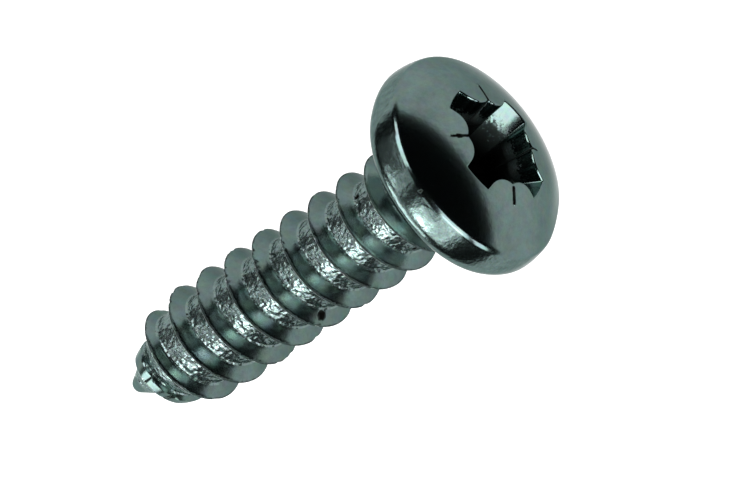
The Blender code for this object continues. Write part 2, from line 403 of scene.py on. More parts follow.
def shank_points(angles, radius, height, bare):
    """The strip's points, with the crushed root and a slight waviness pushed out of it."""
    turned = np.broadcast_to(angles[:, None], radius.shape)
    outward = np.stack([np.cos(turned), np.sin(turned), np.zeros_like(turned)], -1)
    points = outward * radius[..., None]
    points[..., 2] = height
    flat = points.reshape(-1, 3)
    rough = np.array([lumps.noise(Vector(point) / ROOT_LUMP_SIZE) for point in flat])
    wavy = np.array([lumps.noise(Vector(point) / FLANK_WAVE_SIZE) for point in flat])
    inside = smooth_step(*POINT_FADE, height + sizes().length - STRIP_LOW)
    inside = (inside * smooth_step(*NECK_WAVE_FADE, -height - STRIP_HIGH)).reshape(-1)
    push = inside * (bare.reshape(-1) * ROOT_LUMP_HEIGHT * rough + FLANK_WAVE_HEIGHT * wavy)
    return flat + outward.reshape(-1, 3) * push[:, None]


def shank_faces(bare):
    """Quads of the strip; its last row meets the first row of the next turn."""
    count, rows = bare.shape
    faces, slots = [], []
    masks = bare.reshape(-1)
    for index in range(count - 1 - STEPS_AROUND):
        for row in range(rows):
            one = index * rows + row
            two = one + rows
            three, four = two + 1, one + 1
            if row == rows - 1:
                four = (index + STEPS_AROUND) * rows
                three = four + rows
            faces.append((one, two, three, four))
            mask = (masks[one] + masks[two] + masks[three] + masks[four]) / 4.0
            # Flanks that face the point take the painted bright copy of the plate, for brighter
            # reflections.
            slots.append(ROOT if mask > BARE_FROM else (PAINTED_BRIGHT if row > rows // 2 else FLANK))
    return faces, slots


# Wear and faults seen on the screw, with the painted shade laid in them. Turns count down from the
# first crest under the head.

CHIP_SEED = 7
SMALL_CHIPS_PER_TURN = 5
SMALL_CHIP_WIDTHS = (0.03, 0.09)              # half lengths in radians
SMALL_CHIP_DEPTHS = (0.01, 0.05)              # mm
CHIPS = (
    # turn, half length in radians, depth in millimetres
    (-6.974, 0.05, 0.05), (-6.922, 0.06, 0.07), (-5.95, 0.04, 0.05), (-5.88, 0.07, 0.08),
    (-5.006, 0.05, 0.04), (-4.908, 0.05, 0.06), (-4.876, 0.06, 0.08), (-4.854, 0.04, 0.07),
    (-3.902, 0.05, 0.09), (-3.858, 0.06, 0.09), (-3.84, 0.05, 0.07), (-3.592, 0.04, 0.05),
    (-2.85, 0.05, 0.04), (-2.514, 0.05, 0.05), (-1.812, 0.03, 0.05), (-1.69, 0.03, 0.06),
    (-1.59, 0.05, 0.05), (-0.87, 0.05, 0.05), (-7.676, 0.06, 0.05),
)
PITS = (
    # turn, height over the crest, radius and depth in millimetres
    (-3.582, 0.23, 0.155, 0.12), (-4.84, 1.12, 0.1, 0.07), (-0.565, 0.55, 0.1, 0.07),
    (-0.894, 0.43, 0.09, 0.06),
)
HEAD_NICK = (88.0, 3.92, 1.5, 0.06, 0.02)     # degrees, radius, height, reach and depth in mm
EDGE_SHIFT = 0.036                            # of the dome's edge along the radius, mm
EDGE_SHIFT_AT = math.radians(90.0)
EDGE_SHIFT_SPREAD = math.radians(8.0)
EDGE_SHIFT_RAMP = 1.5                         # how fast it comes in round the upper half
DOME_STILL = 3.2                              # radius inside which the dome keeps its place, mm
HEAD_WEAR_FADE = (0.66, 0.95)                 # shares of the head's radius where flats come in
HEAD_FLATS = (
    # degrees round the axis, spread in degrees, depth in millimetres
    (208.0, 20.0, 0.13), (25.0, 20.0, 0.07), (160.0, 20.0, 0.03),
)
MARK_PIT = (61.0, 1.976, 0.085, 0.03)         # degrees, radius, reach and depth in mm

# Near-black painted shade, laid where shade and dark reflections fall: pits, chips, marks, crests,
# recess
# Painted shade is full where a level less a share of the distance is one or more, and ends at
# nothing
PIT_SHADE = (2.6, 1.6)                        # level, and fall over one reach of the pit
CHIP_SHADE = (1.4, 0.11, 0.08)                # level, reach in mm, depth of a full chip in mm
MARK_SHADE = 1.8                              # level, which falls by one over the mark's half width
CREST_SHADE = (1.5, 0.05, 0.74)               # level, reach in mm, strength
CREST_OVER_CORE = (0.12, 0.3)                 # mm over the core in which the crest's painted shade begins
RECESS_SHADE = (0.6, 1.25)                     # mm under the dome, where it begins and is full


def round_axis(angle, radius, height):
    return np.array([radius * math.cos(angle), radius * math.sin(angle), height])


def strip_place(turn, offset, sink=0.0):
    """A point of the strip's skin, in millimetres on the screw's axes."""
    s = sizes()
    base = crest_height(turn * TURN)
    flank = float(crest_radius(base)) - max(0.0, offset - s.crest_flat / 2.0) * FLANK_SLOPE
    radius = max(flank, core_radius(base + offset)) - sink
    return round_axis(turn * TURN, radius, base + offset)


def fault_places():
    """Centres, reaches and depths of all pits and of the nick, for the dents and the grime."""
    places = [(strip_place(turn, offset), reach, depth) for turn, offset, reach, depth in PITS]
    degrees, radius, height, reach, depth = HEAD_NICK
    places.append((round_axis(math.radians(degrees), radius, height), reach, depth))
    degrees, radius, reach, depth = MARK_PIT
    pit = round_axis(math.radians(degrees), radius, dome_height(radius))
    return places + [(pit, reach, depth)]


def dent(points):
    """Pushes the faults into the skin."""
    flat = points * (1.0, 1.0, 0.0)
    outward = flat / np.maximum(np.linalg.norm(flat, axis=1), TINY)[:, None]
    for place, reach, depth in fault_places():
        share = np.clip(1.0 - (np.linalg.norm(points - place, axis=1) / reach) ** 2, 0.0, 1.0)
        points = points - outward * (depth * share)[:, None]
    return points


def painted_shade_at(points):
    """How much painted shade each point takes: dark in the pits, the marks, the recess and here and
    there on the crests.
    """
    s = sizes()
    radius = np.hypot(points[:, 0], points[:, 1])
    shade_level = np.zeros(len(points))
    level, fall = PIT_SHADE
    for place, reach, depth in fault_places():
        share = level - np.linalg.norm(points - place, axis=1) / reach * fall
        shade_level = np.maximum(shade_level, np.clip(share, 0.0, 1.0))
    level, reach, full_depth = CHIP_SHADE
    for turn, width, depth in CHIPS:
        place = strip_place(turn, 0.0, depth / 2.0)
        share = level - np.linalg.norm(points - place, axis=1) / reach
        shade_level = np.maximum(shade_level, np.clip(share, 0.0, 1.0) * min(1.0, depth / full_depth))
    shade_level = np.maximum(shade_level, crest_painted_shade(points))
    for side, (start, end, width) in enumerate(MARKS):
        angle = recess_sizes().turn + TURN * (side + 0.5) / 4.0
        along = points[:, 0] * math.cos(angle) + points[:, 1] * math.sin(angle)
        across = points[:, 1] * math.cos(angle) - points[:, 0] * math.sin(angle)
        inside = (along > start) & (along < end) & (points[:, 2] > 0.0)
        shade_level = np.maximum(shade_level, inside * np.clip(MARK_SHADE - np.abs(across) / width, 0.0, 1.0))
    # Painted shade grows with depth in the recess, where shade falls.
    depth = sphere_height(np.minimum(radius, s.head_diameter / 2.0 - s.edge_inset)) - points[:, 2]
    bottom = s.head_height - recess_sizes().point_depth
    inside = (radius < recess_sizes().span / 2.0) & (points[:, 2] > bottom)
    return np.maximum(shade_level, inside * smooth_step(*RECESS_SHADE, depth))


def crest_painted_shade(points):
    """The painted dark line of shade along the thread's crest, and nothing off it."""
    s = sizes()
    angle = np.arctan2(points[:, 1], points[:, 0])
    turns = (points[:, 2] + s.crest_offset) / s.pitch - angle / TURN
    off = np.abs(turns - np.round(turns)) * s.pitch
    radius = np.hypot(points[:, 0], points[:, 1])
    high = smooth_step(*CREST_OVER_CORE, radius - s.core_diameter / 2.0)
    level, reach, strength = CREST_SHADE
    near = np.clip(level - off / reach, 0.0, 1.0)
    return strength * (high * near * (points[:, 2] < -s.thread_end))


def head_wobble(points):
    """The head is slightly out of round, and its edge wanders along the dome."""
    s = sizes()
    angle = np.arctan2(points[:, 1], points[:, 0])
    radius = np.hypot(points[:, 0], points[:, 1])
    reach = s.head_diameter / 2.0
    edge = reach - s.edge_inset
    outer = smooth_step(*(reach * share for share in HEAD_WEAR_FADE), radius)
    shift = EDGE_SHIFT * (1.0 - np.tanh((angle - EDGE_SHIFT_AT) / EDGE_SHIFT_SPREAD))
    shift = shift * np.clip(EDGE_SHIFT_RAMP * np.sin(angle), 0.0, 1.0)
    side = np.clip((points[:, 2] - s.head_round) / (s.edge_height - s.head_round), 0.0, 1.0)
    on_dome = points[:, 2] >= s.edge_height
    dome_weight = smooth_step(DOME_STILL, edge - s.edge_round / 2.0, radius)
    weight = np.where(on_dome, dome_weight, side ** 2)
    moved = radius + shift * weight
    rise = np.where(on_dome, sphere_height(moved) - sphere_height(radius),
                    (sphere_height(edge + shift) - sphere_height(edge)) * side)
    points = points.copy()
    points[:, :2] *= (moved / np.maximum(radius, TINY))[:, None]
    points[:, 2] += rise
    for place, spread, depth in HEAD_FLATS:
        off = np.angle(np.exp(1j * (angle - math.radians(place))))
        sunk = depth * np.exp(-(off / math.radians(spread)) ** 2) * outer
        points[:, :2] *= (1.0 - sunk / np.maximum(radius, TINY))[:, None]
    return points


def ring_stack(profile):
    """A turned skin of rings; a radius of nothing is a pole."""
    points, faces, rings = [], [], []
    for radius, height in profile:
        count = STEPS_AROUND if radius > POLE_RADIUS else 1
        angles = np.arange(count) * TURN / STEPS_AROUND
        rings.append(np.arange(count) + len(points))
        points += [(radius * math.cos(angle), radius * math.sin(angle), height) for angle in angles]
    for low, high in zip(rings, rings[1:]):
        for index in range(STEPS_AROUND):
            after = (index + 1) % STEPS_AROUND
            if len(low) == 1:
                faces.append((low[0], high[after], high[index]))
            elif len(high) == 1:
                faces.append((low[index], low[after], high[0]))
            else:
                faces.append((low[index], low[after], high[after], high[index]))
    return np.array(points), faces


def nose_profile():
    s = sizes()
    profile = [(0.0, -s.length)]
    for index in range(1, NOSE_RINGS + 1):
        distance = STRIP_LOW * (index / NOSE_RINGS) ** 2
        profile.append((core_radius(-s.length + distance), -s.length + distance))
    return profile


BEARING_BELOW = 0.02            # height in mm up to which a face belongs to the bearing face


def rim_slots(points, faces):
    """Finishes of the head: its bearing face, which takes the painted bright copy of the plate, its
    side up to the dome's edge, and the dome.
    """
    s = sizes()
    slots = []
    for face in faces:
        height = points[list(face), 2].mean()
        if height < BEARING_BELOW:
            slots.append(PAINTED_BRIGHT)
        else:
            slots.append(RIM if height < s.edge_height - s.edge_round / 2.0 else SMOOTH)
    return slots


def screw_skin():
    """The whole screw as one closed bmesh in millimetres, before the recess is cut."""
    angles, radius, height, bare = shank_grid()
    points = [shank_points(angles, radius, height, bare)]
    faces, slots = shank_faces(bare)
    nose, nose_faces = ring_stack(nose_profile())
    head, head_faces = ring_stack([(core_radius(-STRIP_HIGH), -STRIP_HIGH)] + head_profile())
    slots += [SMOOTH] * len(nose_faces) + rim_slots(head, head_faces)
    for more, quads in ((nose, nose_faces), (head_wobble(head), head_faces)):
        base = sum(len(part) for part in points)
        faces += [tuple(base + corner for corner in face) for face in quads]
        points.append(more)
    skin = dent(np.concatenate(points))
    mesh = bpy.data.meshes.new("screw_skin")
    mesh.from_pydata(skin * MM, [], faces)
    mesh.polygons.foreach_set("material_index", slots)
    bm = bmesh.new()
    bm.from_mesh(mesh)
    bpy.data.meshes.remove(mesh)
    bmesh.ops.remove_doubles(bm, verts=bm.verts, dist=WELD * MM)
    bmesh.ops.dissolve_degenerate(bm, edges=bm.edges, dist=SLIVER * MM)
    loose = [vert for vert in bm.verts if not vert.link_faces]
    bmesh.ops.delete(bm, geom=loose, context="VERTS")
    bmesh.ops.recalc_face_normals(bm, faces=bm.faces)
    if bm.calc_volume(signed=True) < 0.0:
        bmesh.ops.reverse_faces(bm, faces=bm.faces)
    return bm


# The recess

WING_END_SLOPE = math.tan(math.radians(28.0))
WING_SIDE_SLOPE = math.tan(math.radians(4.0))
MIDDLE_SIDE_SLOPE = math.tan(math.radians(7.75))
WING_CORNER_ROUND = 0.05
LAND_SHARE = 0.95
CUTTER_MARGIN = 0.4
DOME_LIMIT = 3.9                # mm from the axis, out to which the dome is asked for its height
DOME_PASSES = 3                 # rounds in which the cutter's wall finds the dome
LIP_RINGS = (
    # depth under the dome and flare, both in radii of the lip
    (2.4, 0.0), (1.4, 0.1), (0.7, 0.35), (0.25, 0.75), (0.0, 1.2),
)
LIP_TOP_FLARE = 2.0
MARK_STEEPNESS = 1.5
MARK_ABOVE = 0.1                # mm that the wedge stands out of the dome
MARK_TAPER = 0.75               # share of its width that a mark loses at its far end
MARK_WIDEST = 0.4               # share of its length where it is widest
MARKS = (
    # start and end from the axis, half width, in millimetres
    (1.54, 2.3, 0.045), (1.7, 2.36, 0.065), (1.54, 1.95, 0.035), (1.52, 2.38, 0.045),
)


def recess_half(height, flare):
    """From the middle of a wing's end round one land to the cusp between two lands."""
    r = recess_sizes()
    rise = height - dome_height(r.span / 2.0)
    reach = r.span / 2.0 + rise * WING_END_SLOPE + flare
    wing = r.wing_width / 2.0 + rise * WING_SIDE_SLOPE + flare
    middle = r.middle_width / 2.0 + rise * MIDDLE_SIDE_SLOPE + flare
    land = min(r.land_radius - flare, LAND_SHARE * (reach - middle))
    x, y = middle + land, wing + land
    cusp = (x + y - math.sqrt(2.0 * land ** 2 - (x - y) ** 2)) / 2.0
    stop = math.atan2(cusp - y, cusp - x) + TURN
    lobe = arc((x, y), land, 3.0 * QUARTER, stop, LOBE_STEPS)
    radius = min(WING_CORNER_ROUND, (reach - x) / 2.0)
    bulge = min(math.hypot(reach, wing) - reach, radius)
    end = []
    for step in range(WING_END_STEPS):
        share = step / WING_END_STEPS
        end.append((reach + bulge * (1.0 - share ** 2), wing * share))
    corner = rounded_corner(end[-1], (reach, wing), (x, wing), radius, WING_CORNER_STEPS)
    return end + corner + lobe


def recess_ring(depth_or_height, flare, follows_dome):
    """A closed ring of the cutter, either at a height or at a depth under the dome."""
    r = recess_sizes()
    points = []
    shoulder = dome_height(r.span / 2.0)
    half = recess_half(shoulder if follows_dome else depth_or_height, flare)
    if follows_dome:
        lifted = []
        for index, (x, y) in enumerate(half):
            for _ in range(DOME_PASSES):
                height = dome_height(min(DOME_LIMIT, math.hypot(x, y))) - depth_or_height
                x, y = recess_half(height, flare)[index]
            lifted.append((x, y, height))
        half = lifted
    else:
        half = [(x, y, depth_or_height) for x, y in half]
    whole = half + [(y, x, z) for x, y, z in reversed(half[1:-1])]
    for side in range(4):
        turn = Matrix.Rotation(r.turn + side * QUARTER, 3, "Z")
        points += [turn @ Vector(point) for point in whole]
    return points


def closed_tool(name, rings, bottom=None):
    """A lofted cutter of rings with the same count, capped at both ends."""
    bm = bmesh.new()
    made = [[bm.verts.new(point * MM) for point in ring] for ring in rings]
    count = len(made[0])
    for low, high in zip(made, made[1:]):
        for index in range(count):
            after = (index + 1) % count
            bm.faces.new((low[index], low[after], high[after], high[index]))
    if bottom is None:
        bm.faces.new(made[0])
    else:
        foot = bm.verts.new(bottom * MM)
        for index in range(count):
            bm.faces.new((made[0][(index + 1) % count], made[0][index], foot))
    bm.faces.new(made[-1])
    bmesh.ops.recalc_face_normals(bm, faces=bm.faces)
    if bm.calc_volume(signed=True) < 0.0:
        bmesh.ops.reverse_faces(bm, faces=bm.faces)
    mesh = bpy.data.meshes.new(name)
    bm.to_mesh(mesh)
    bm.free()
    tool = bpy.data.objects.new(name, mesh)
    bpy.context.scene.collection.objects.link(tool)
    return tool


def recess_tool():
    s, r = sizes(), recess_sizes()
    foot = s.head_height - r.wing_depth
    middle = (foot + dome_height(r.span / 2.0)) / 2.0
    rings = [recess_ring(foot, 0.0, False), recess_ring(middle, 0.0, False)]
    for depth, flare in LIP_RINGS:
        rings.append(recess_ring(depth * r.lip, flare * r.lip, True))
    rings.append(recess_ring(s.head_height + CUTTER_MARGIN, LIP_TOP_FLARE * r.lip, False))
    return closed_tool("recess_tool", rings, Vector((0.0, 0.0, s.head_height - r.point_depth)))


def mark_tool(side, start, end, width):
    """A wedge that scores the dome outwards from the cusp between two lands."""
    angle = recess_sizes().turn + TURN * (side + 0.5) / 4.0
    along = Vector((math.cos(angle), math.sin(angle), 0.0))
    across = Vector((-math.sin(angle), math.cos(angle), 0.0))
    rings = []
    for step in range(MARK_STEPS + 1):
        share = step / MARK_STEPS
        distance = start + (end - start) * share
        narrowed = ((share - MARK_WIDEST) / (1.0 - MARK_WIDEST)) ** 2
        half = width * (1.0 - MARK_TAPER * narrowed)
        deep = MARK_STEEPNESS * half
        surface = dome_height(distance)
        foot = along * distance + Vector((0.0, 0.0, surface - deep))
        top = along * distance + Vector((0.0, 0.0, surface + MARK_ABOVE))
        spread = across * half * (deep + MARK_ABOVE) / deep
        rings.append([foot, top + spread, top - spread])
    return closed_tool("mark_tool", rings)


def cut_away(piece, tool):
    step = piece.modifiers.new(tool.name, "BOOLEAN")
    step.operation = "DIFFERENCE"
    step.solver = "MANIFOLD"
    step.object = tool


# Shared effects, each a node group

MOTTLE_LAYERS = (
    # scale against the patches, share, detail and roughness of the noise
    (1.0, 0.5, 4.0, 0.6), (7.0, 0.25, 2.0, 0.5), (20.0, 0.25, 2.0, 0.6),
)
NOISE_MEAN = 0.5
HUE_SCALE = 3.0                 # against the patches
HUE_NOISE = (2.0, 0.5)          # detail and roughness
HUE_DRIFT = 0.2
GREY = (0.5, 0.5, 0.5, 1.0)
ROUGHNESS_SWING = -0.6          # of the roughness against the colour
BUMP_NOISE = (0.6, 0.5)
SWELL_NOISE = (1.0, 0.5)
SWELL_SCALE = 0.4               # against the bumps
PEEL_NOISE = (2.0, 0.5)
PIT_NOISE = (5.0, 0.7)
PIT_SCALE = 0.35                # against the orange-peel
PIT_SHARE = 1.5
SHADE_NOISE = (3.0, 0.6)
SHADE_SWING = 1.2
SHADE_EDGE = (0.35, 0.75)       # levels between which the painted shade comes in
SHADE_ROUGHNESS = 0.8

# Sockets of a mix node: share, one, two and result
MIX_SOCKETS = {"RGBA": (0, 6, 7, 2), "FLOAT": (0, 2, 3, 0)}


def link(tree, source, target):
    tree.links.new(source, target)


def feed(tree, socket, value):
    """Joins a socket to another socket, or sets it to a value."""
    if isinstance(value, bpy.types.NodeSocket):
        link(tree, value, socket)
    else:
        socket.default_value = value


def math_node(tree, operation, one, two):
    node = tree.nodes.new("ShaderNodeMath")
    node.operation = operation
    feed(tree, node.inputs[0], one)
    feed(tree, node.inputs[1], two)
    return node.outputs[0]


def vector_node(tree, operation, vector, other=None, scale=None):
    node = tree.nodes.new("ShaderNodeVectorMath")
    node.operation = operation
    feed(tree, node.inputs[0], vector)
    if other is not None:
        feed(tree, node.inputs[1], other)
    if scale is not None:
        feed(tree, node.inputs["Scale"], scale)
    return node.outputs["Value" if operation == "LENGTH" else "Vector"]


def mix_node(tree, kind, share, one, two):
    node = tree.nodes.new("ShaderNodeMix")
    node.data_type = kind
    at_share, at_one, at_two, result = MIX_SOCKETS[kind]
    feed(tree, node.inputs[at_share], share)
    feed(tree, node.inputs[at_one], one)
    feed(tree, node.inputs[at_two], two)
    return node.outputs[result]


def smooth_range(tree, value, low, high, start=0.0, end=1.0):
    """A value that swings softly from start to end between a low and a high one."""
    node = tree.nodes.new("ShaderNodeMapRange")
    node.interpolation_type = "SMOOTHSTEP"
    for name, bound in (("From Min", low), ("From Max", high), ("To Min", start), ("To Max", end)):
        node.inputs[name].default_value = bound
    link(tree, value, node.inputs["Value"])
    return node.outputs["Result"]


def object_place(tree):
    return tree.nodes.new("ShaderNodeTexCoord").outputs["Object"]


def noise_node(tree, vector, scale, detail, roughness, result="Fac"):
    node = tree.nodes.new("ShaderNodeTexNoise")
    node.inputs["Detail"].default_value = detail
    node.inputs["Roughness"].default_value = roughness
    feed(tree, node.inputs["Scale"], scale)
    link(tree, vector, node.inputs["Vector"])
    return node.outputs[result]


def effect_group(name, inputs, outputs):
    """An empty node group with its number inputs, its outputs and the place it is asked for."""
    tree = bpy.data.node_groups.new(name, "ShaderNodeTree")
    for label, value in inputs:
        socket = tree.interface.new_socket(
            name=label, in_out="INPUT", socket_type="NodeSocketFloat")
        socket.default_value = value
    for label, kind in outputs:
        tree.interface.new_socket(name=label, in_out="OUTPUT", socket_type=kind)
    into = tree.nodes.new("NodeGroupInput").outputs
    out = tree.nodes.new("NodeGroupOutput").inputs
    return tree, into, out, object_place(tree)


def plate_mottle_group():
    """Cloudy patches of the plate: a colour factor and a roughness to go with it."""
    tree, into, out, place = effect_group(
        "plate_mottle",
        (("Patch Scale", 900.0), ("Contrast", 0.25), ("Roughness", 0.25)),
        (("Tint", "NodeSocketColor"), ("Roughness", "NodeSocketFloat")))
    swing = -NOISE_MEAN
    for times, share, detail, roughness in MOTTLE_LAYERS:
        scale = math_node(tree, "MULTIPLY", into["Patch Scale"], times)
        layer = noise_node(tree, place, scale, detail, roughness)
        swing = math_node(tree, "ADD", math_node(tree, "MULTIPLY", layer, share), swing)
    swing = math_node(tree, "MULTIPLY", swing, into["Contrast"])
    scale = math_node(tree, "MULTIPLY", into["Patch Scale"], HUE_SCALE)
    hue = noise_node(tree, place, scale, *HUE_NOISE, "Color")
    drift = mix_node(tree, "RGBA", HUE_DRIFT, GREY, hue)
    level = math_node(tree, "MULTIPLY", math_node(tree, "ADD", swing, 1.0), 2.0)
    link(tree, vector_node(tree, "SCALE", drift, scale=level), out["Tint"])
    rough = math_node(tree, "ADD", math_node(tree, "MULTIPLY", swing, ROUGHNESS_SWING), 1.0)
    link(tree, math_node(tree, "MULTIPLY", rough, into["Roughness"]), out["Roughness"])


def rolled_bumps_group():
    """The small round bumps of a rolled root, as a height."""
    tree, into, out, place = effect_group(
        "rolled_bumps", (("Scale", 8000.0),), (("Height", "NodeSocketFloat"),))
    bumps = noise_node(tree, place, into["Scale"], *BUMP_NOISE)
    scale = math_node(tree, "MULTIPLY", into["Scale"], SWELL_SCALE)
    swell = noise_node(tree, place, scale, *SWELL_NOISE)
    link(tree, math_node(tree, "ADD", bumps, swell), out["Height"])


def fine_pits_group():
    """Orange-peel and shallow pits of the plated skin, as a height."""
    tree, into, out, place = effect_group(
        "fine_pits", (("Scale", 5000.0),), (("Height", "NodeSocketFloat"),))
    peel = noise_node(tree, place, into["Scale"], *PEEL_NOISE)
    scale = math_node(tree, "MULTIPLY", into["Scale"], PIT_SCALE)
    pits = math_node(tree, "MULTIPLY", noise_node(tree, place, scale, *PIT_NOISE), PIT_SHARE)
    link(tree, math_node(tree, "ADD", peel, pits), out["Height"])


def painted_shade_group():
    """Broken-edged painted shade, where the value stored on the mesh says so."""
    tree, into, out, place = effect_group(
        "painted_shade_mask", (("Scale", 9000.0),), (("Mask", "NodeSocketFloat"),))
    here = tree.nodes.new("ShaderNodeAttribute")
    here.attribute_name = "painted_shade"
    patchy = noise_node(tree, place, into["Scale"], *SHADE_NOISE)
    swing = math_node(tree, "SUBTRACT", patchy, NOISE_MEAN)
    swing = math_node(tree, "MULTIPLY", swing, SHADE_SWING)
    level = smooth_range(tree, math_node(tree, "ADD", here.outputs["Fac"], swing), *SHADE_EDGE)
    link(tree, math_node(tree, "MULTIPLY", level, here.outputs["Fac"]), out["Mask"])


def group_node(tree, group, **values):
    node = tree.nodes.new("ShaderNodeGroup")
    node.node_tree = bpy.data.node_groups[group]
    for name, value in values.items():
        node.inputs[name.replace("_", " ")].default_value = value
    return node


PLATES = (
    # name, colour, roughness, contrast, patch scale, height group and its scale, bump in mm
    ("smooth_plate", "plate", 0.15, 1.1, 900.0, "fine_pits", 4000.0, 0.002),
    ("thread_flank", "plate", 0.2, 1.1, 900.0, "fine_pits", 4000.0, 0.003),
    ("rolled_root", "rolled", 0.26, 0.9, 3000.0, "rolled_bumps", 6500.0, 0.045),
    ("rim_band", "plate", 0.18, 2.4, 4500.0, "fine_pits", 4500.0, 0.01),
    ("punched_wall", "plate", 0.13, 0.4, 1500.0, "fine_pits", 3500.0, 0.002),
    # The painted bright copy of the plate, for brighter mirrored light in the flanks.
    ("painted_bright_flank", "bright", 0.2, 0.5, 900.0, "fine_pits", 4000.0, 0.003),
)


def plate_material(name, colour, roughness, contrast, patch, relief, relief_scale, bump):
    """Zinc plate: mottled colour and roughness, with a height group that feeds the bump."""
    material = bpy.data.materials.new(name)
    material.use_nodes = True
    tree = material.node_tree
    shader = tree.nodes["Principled BSDF"].inputs
    shader["Metallic"].default_value = 1.0
    shader["Specular Tint"].default_value = (*colours().edge_tint, 1.0)
    mottle = group_node(
        tree, "plate_mottle", Patch_Scale=patch, Contrast=contrast, Roughness=roughness)
    mask = group_node(tree, "painted_shade_mask").outputs["Mask"]
    base = vector_node(tree, "MULTIPLY", getattr(colours(), colour), mottle.outputs["Tint"])
    # Painted shade: the base turns near-black and rough where the mask says.
    base = mix_node(tree, "RGBA", mask, base, (*colours().painted_shade, 1.0))
    link(tree, base, shader["Base Color"])
    dull = mix_node(tree, "FLOAT", mask, mottle.outputs["Roughness"], SHADE_ROUGHNESS)
    link(tree, dull, shader["Roughness"])
    height = group_node(tree, relief, Scale=relief_scale)
    skin = tree.nodes.new("ShaderNodeBump")
    skin.inputs["Distance"].default_value = bump * MM
    link(tree, height.outputs["Height"], skin.inputs["Height"])
    link(tree, skin.outputs["Normal"], shader["Normal"])
    return material


def cut_recess(context, piece):
    """The mesh of the piece once the recess and its marks are cut, with punched walls."""
    tools = [recess_tool()] + [mark_tool(side, *mark) for side, mark in enumerate(MARKS)]
    for tool in tools:
        for material in piece.data.materials:
            tool.data.materials.append(material)
        for face in tool.data.polygons:
            face.material_index = PUNCHED
        cut_away(piece, tool)
    shape = piece.evaluated_get(context.evaluated_depsgraph_get())
    cut = bpy.data.meshes.new_from_object(shape)
    for tool in tools:
        bpy.data.objects.remove(tool, do_unlink=True)
    if len(cut.polygons) == 0:
        raise RuntimeError("the recess could not be cut")
    return cut


def store_painted_shade(mesh):
    """Writes how much painted shade each point takes, while the mesh is still on the screw's own
    axes.
    """
    places = np.empty(len(mesh.vertices) * 3)
    mesh.vertices.foreach_get("co", places)
    painted_shade = mesh.attributes.new("painted_shade", "FLOAT", "POINT")
    painted_shade.data.foreach_set("value", painted_shade_at(places.reshape(-1, 3) / MM))


class SCREW_OT_body(bpy.types.Operator):
    """Builds the dressed screw: skin, recess, marks and finishes"""

    bl_idname = "screw.body"
    bl_label = "Screw body"

    def execute(self, context):
        plate_mottle_group()
        rolled_bumps_group()
        fine_pits_group()
        painted_shade_group()
        bm = screw_skin()
        mesh = bpy.data.meshes.new("dressed_screw")
        bm.to_mesh(mesh)
        bm.free()
        piece = bpy.data.objects.new("dressed_screw", mesh)
        context.scene.collection.objects.link(piece)
        for plate in PLATES:
            mesh.materials.append(plate_material(*plate))
        cut = cut_recess(context, piece)
        piece.modifiers.clear()
        piece.data = cut
        store_painted_shade(cut)
        cut.transform(Matrix.Translation(BEARING_CENTRE) @ TO_ROW.to_4x4())
        cut.shade_smooth()
        cut.set_sharp_from_angle(angle=SHARP_FROM)
        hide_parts("screw")
        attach(piece, "root")
        return {"FINISHED"}


# The stage, in metres and degrees

VIEW_OFF_AXIS = math.radians(55.5)      # between the line of sight and the screw's axis
AXIS_IN_PICTURE = math.radians(33.84)   # of the screw over the picture's horizontal
CAMERA_DISTANCE = 0.5
PICTURE_SCALE = 29.33                   # pixels for each millimetre at the screw
PICTURE_WIDTH = 750.0
SENSOR_WIDTH = 36.0
AIM_BELOW_HEAD = 4.07                   # mm, the picture's middle along the axis
AIM_ASIDE = -0.666                      # mm, the picture's middle to one side
FLOOR_RADIUS = 0.9
FLOOR_LIFT = 0.8                        # glow of the floor near the screw, where lamps add to it
POOL_INNER = 0.036                      # reach of the full painted pool of light
POOL_OUTER = 0.066                      # where it has faded
POOL_FAR = 0.02                         # what is left of it there
ROOM_COLOUR = (0.006, 0.007, 0.008, 1.0)


def stage_camera():
    sight = AXIS * math.cos(VIEW_OFF_AXIS) + UPPER * math.sin(VIEW_OFF_AXIS)
    along = (AXIS - sight * math.cos(VIEW_OFF_AXIS)).normalized()
    right = along * math.cos(AXIS_IN_PICTURE) - ASIDE * math.sin(AXIS_IN_PICTURE)
    up = along * math.sin(AXIS_IN_PICTURE) + ASIDE * math.cos(AXIS_IN_PICTURE)
    aim = BEARING_CENTRE - AXIS * AIM_BELOW_HEAD * MM + ASIDE * AIM_ASIDE * MM
    data = bpy.data.cameras.new("photo_camera")
    data.sensor_width = SENSOR_WIDTH
    width = PICTURE_WIDTH / PICTURE_SCALE * MM
    data.lens = SENSOR_WIDTH * CAMERA_DISTANCE / width
    data.clip_start = 0.01
    data.clip_end = 5.0
    camera = bpy.data.objects.new("photo_camera", data)
    bpy.context.scene.collection.objects.link(camera)
    turn = Matrix((right, up, sight)).transposed().to_4x4()
    camera.matrix_world = Matrix.Translation(aim + sight * CAMERA_DISTANCE) @ turn
    bpy.context.scene.camera = camera


def floor_glow(tree, pool):
    """White for the camera everywhere, and the painted pool of light for mirrored or refracted
    rays.
    """
    rays = tree.nodes.new("ShaderNodeLightPath").outputs
    lit = math_node(tree, "MULTIPLY", pool, 1.0 - FLOOR_LIFT)
    white = math_node(tree, "SUBTRACT", 1.0, lit)
    direct = math_node(tree, "MULTIPLY", rays["Is Camera Ray"], white)
    mirrored = math_node(tree, "MAXIMUM", rays["Is Glossy Ray"], rays["Is Transmission Ray"])
    glow = math_node(tree, "MULTIPLY", pool, FLOOR_LIFT)
    return math_node(tree, "ADD", direct, math_node(tree, "MULTIPLY", mirrored, glow))


def painted_light_pool(tree):
    """A painted pool of light near the screw, fading to a darker studio floor farther out."""
    distance = vector_node(tree, "LENGTH", object_place(tree))
    return smooth_range(tree, distance, POOL_INNER, POOL_OUTER, 1.0, POOL_FAR)


